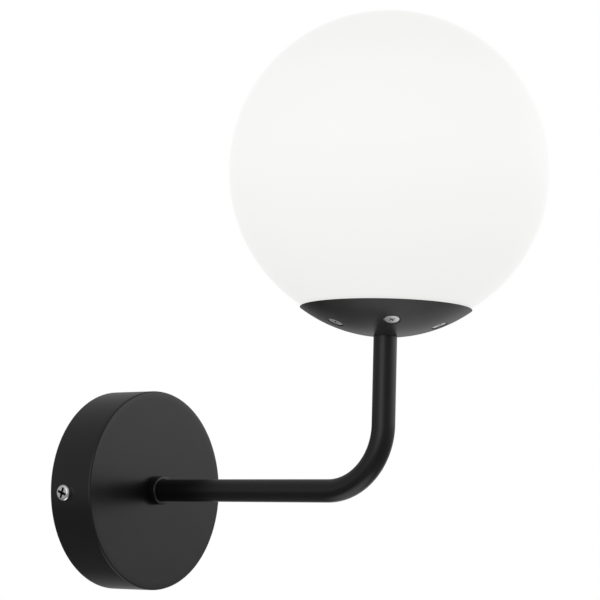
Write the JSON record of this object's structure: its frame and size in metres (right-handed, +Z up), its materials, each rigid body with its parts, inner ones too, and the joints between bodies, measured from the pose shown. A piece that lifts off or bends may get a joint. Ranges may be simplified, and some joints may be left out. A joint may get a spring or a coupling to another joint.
{
  "type": "globe wall sconce",
  "caption": "Wall light with a round canopy, a bent tube arm, a shallow dish and an opal glass globe that lifts off its bulb.",
  "frame": {"origin": "centre of the canopy's back, on the wall, on the axis of the horizontal part of the arm", "axes": "+Z up, the wall is the plane Y = 0, -Y points out of the wall along the arm, +X to the right for someone who faces the wall"},
  "size_m": [0.152, 0.24, 0.277],
  "materials": {
    "black_enamel": "satin black baked enamel",
    "zinc_steel": "bright zinc-plated steel",
    "chrome_screw": "chromed screw heads",
    "opal_glass": "opal white glass, smooth and glossy",
    "brass": "turned brass",
    "bronze_spring": "phosphor bronze strip",
    "white_ceramic": "glazed white porcelain",
    "black_moulding": "black moulded lampholder plastic",
    "clear_silicone": "translucent silicone",
    "white_moulding": "off-white moulded nylon",
    "brown_insulation": "brown lead insulation",
    "blue_insulation": "blue lead insulation",
    "green_insulation": "green and yellow lead insulation",
    "frosted_glass": "frosted bulb glass",
    "nickel_cap": "bright rolled bulb cap",
    "dark_insulator": "dark glass insulator",
    "solder": "tinned centre contact"
  },
  "bodies": {
    "fixture": {"wall_bracket": "zinc_steel", "bracket_earth_stud": "brass", "bracket_earth_washer": "brass", "bracket_earth_nut": "brass", "canopy": "black_enamel", "canopy_side_screws": "chrome_screw", "arm_collar": "black_enamel", "arm_tube": "black_enamel", "wire_bushes": "white_moulding", "earth_tag": "brass", "canopy_lock_washer": "zinc_steel", "canopy_nut": "zinc_steel", "terminal_block": "white_moulding", "terminal_inserts": "brass", "terminal_screws": "zinc_steel", "terminal_block_screws": "zinc_steel", "live_lead": "brown_insulation", "neutral_lead": "blue_insulation", "earth_lead": "green_insulation", "dish": "black_enamel", "globe_carrier": "zinc_steel", "dish_screws": "chrome_screw", "globe_clips": "zinc_steel", "clip_nuts": "zinc_steel", "globe_gasket": "clear_silicone", "dish_lock_washer": "zinc_steel", "dish_nut": "zinc_steel", "lampholder_cap": "black_moulding", "lampholder_insert": "white_ceramic", "lampholder_posts": "brass", "lampholder_skirt": "black_moulding", "screw_shell": "brass", "centre_contact": "bronze_spring"},
    "globe": {"globe": "opal_glass"},
    "bulb": {"bulb_glass": "frosted_glass", "bulb_cap": "nickel_cap", "bulb_insulator": "dark_insulator", "bulb_tip": "solder"}
  },
  "joints": [
    {"name": "globe_lift_off", "type": "slide", "parent": "fixture", "child": "globe", "axis": [0, 0, 1], "range_m": [0, 0.13]},
    {"name": "bulb_lift_out", "type": "slide", "parent": "fixture", "child": "bulb", "axis": [0, 0, 1], "range_m": [0, 0.03]}
  ]
}
